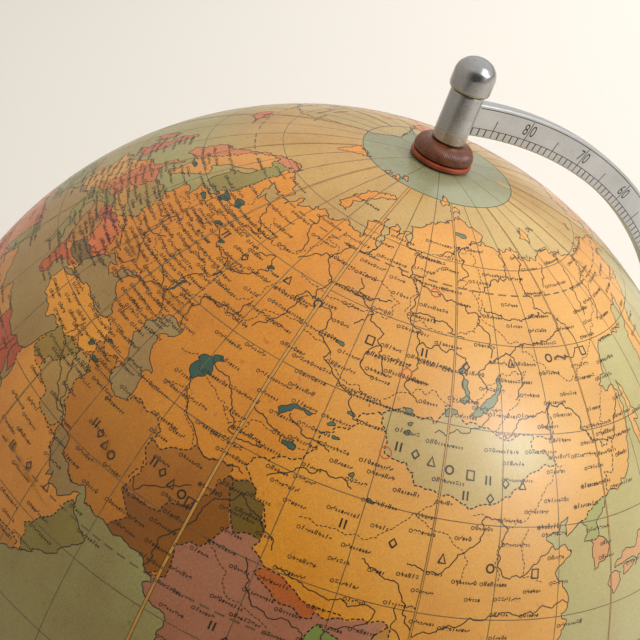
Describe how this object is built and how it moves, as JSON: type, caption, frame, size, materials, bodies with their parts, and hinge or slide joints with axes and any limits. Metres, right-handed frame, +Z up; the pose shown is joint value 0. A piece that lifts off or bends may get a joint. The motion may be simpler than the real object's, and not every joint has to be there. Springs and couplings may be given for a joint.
{
  "type": "terrestrial globe",
  "caption": "Table globe: papered ball turning on a tilted axle between the ends of a half-ring meridian arm on a round wooden foot.",
  "frame": {"origin": "centre of the underside of the foot, on the surface the globe stands on", "axes": "+Z up; the arm lies in the XZ plane and the north pole leans towards +X by 23.5 degrees"},
  "size_m": [0.3539, 0.33, 0.4538],
  "materials": {
    "dark_wood": "stained and polished",
    "raw_wood": "plain turned",
    "nickel": "nickel plate, satin and aged",
    "steel": "bright drawn",
    "brass": "turned",
    "fibre": "vulcanised fibre, waxed",
    "felt": "wool felt",
    "board": "papier-mache with a plaster skin",
    "printed_paper": "printed paper under yellowed glossy varnish"
  },
  "bodies": {
    "stand": {"foot": "dark_wood", "foot_felt": "felt", "tie_rod": "steel", "tie_rod_washer": "steel", "tie_rod_nut": "steel", "pillar": "dark_wood", "pillar_collar": "nickel", "arm_saddle": "nickel", "saddle_rivet_1": "nickel", "saddle_rivet_2": "nickel", "meridian_arm": "nickel", "axle_rod": "steel", "north_ferrule": "nickel", "south_ferrule": "nickel", "north_cap_nut": "nickel", "south_cap_nut": "nickel", "north_boss": "dark_wood", "south_boss": "dark_wood"},
    "ball": {"upper_shell": "board", "lower_shell": "board", "equator_hoop": "board", "north_pole_block": "raw_wood", "south_pole_block": "raw_wood", "north_bush": "brass", "south_bush": "brass", "north_fibre_washer": "fibre", "south_fibre_washer": "fibre", "north_calotte": "printed_paper", "south_calotte": "printed_paper", "gore_01": "printed_paper", "gore_02": "printed_paper", "gore_03": "printed_paper", "gore_04": "printed_paper", "gore_05": "printed_paper", "gore_06": "printed_paper", "gore_07": "printed_paper", "gore_08": "printed_paper", "gore_09": "printed_paper", "gore_10": "printed_paper", "gore_11": "printed_paper", "gore_12": "printed_paper"}
  },
  "joints": [
    {"name": "globe_spin", "type": "hinge", "parent": "stand", "child": "ball", "pos_m": [0, 0, 0.265], "axis": [0.3987, 0, 0.9171], "continuous": true}
  ]
}
